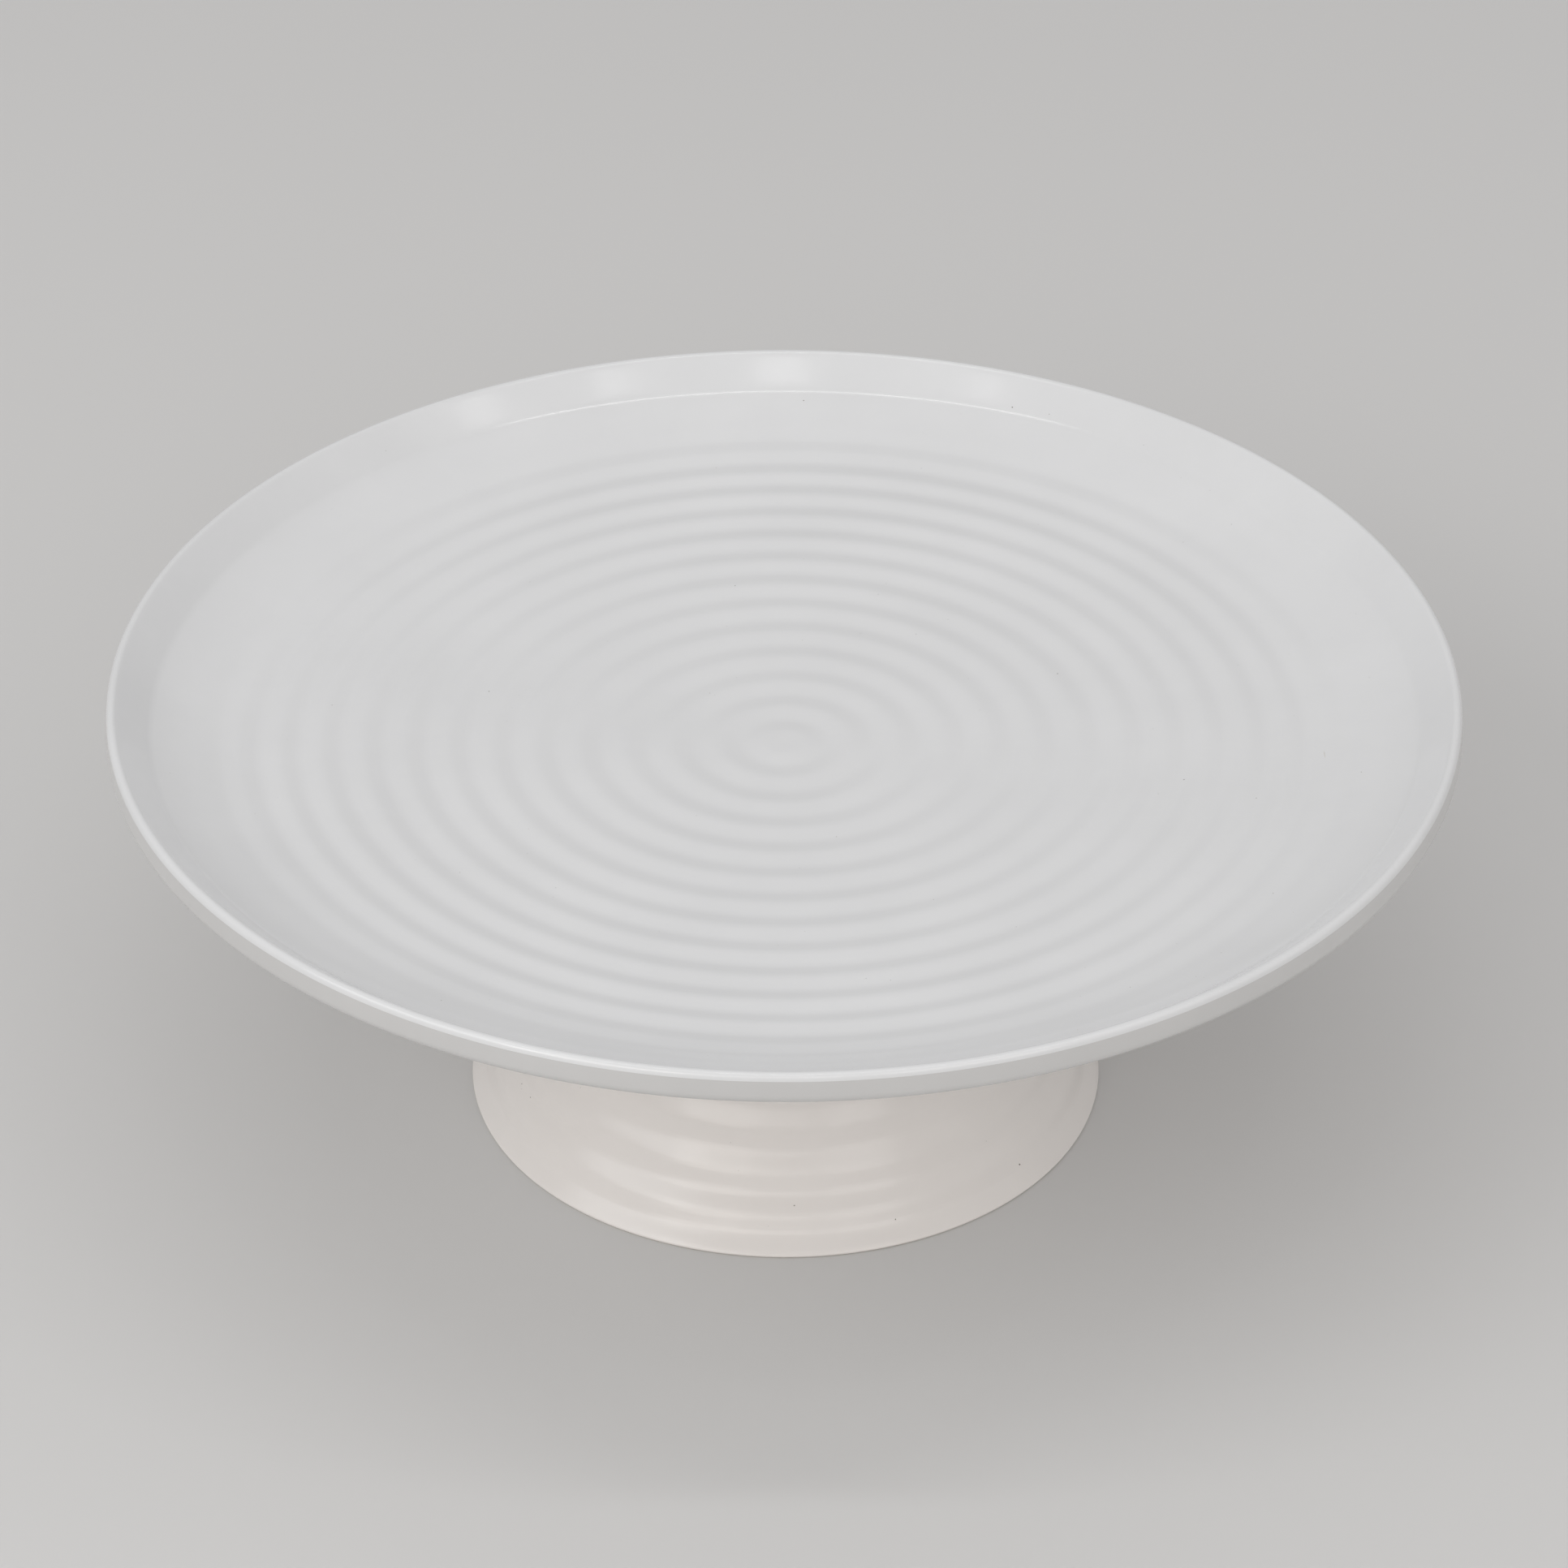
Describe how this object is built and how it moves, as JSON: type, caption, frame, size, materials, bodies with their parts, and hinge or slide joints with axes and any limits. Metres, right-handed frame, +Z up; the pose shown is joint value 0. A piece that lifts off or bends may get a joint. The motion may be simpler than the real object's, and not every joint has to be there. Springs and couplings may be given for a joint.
{
  "type": "footed cake stand",
  "caption": "Round dished plate with soft concentric ripples and an upturned rounded rim, raised on a hollow flared foot, in white glazed porcelain.",
  "frame": {"origin": "on the table plane, under the middle of the foot", "axes": "+Z up along the axis of revolution; X and Y are any two directions across, because the object is the same all round"},
  "size_m": [0.32, 0.32, 0.1143],
  "materials": {
    "glazed_porcelain": "soft-gloss white glaze over white porcelain",
    "glazed_slip": "soft-gloss white glaze over sponged porcelain slip"
  },
  "bodies": {
    "root": {"plate": "glazed_porcelain", "foot": "glazed_porcelain", "slip_joint": "glazed_slip"}
  },
  "joints": []
}
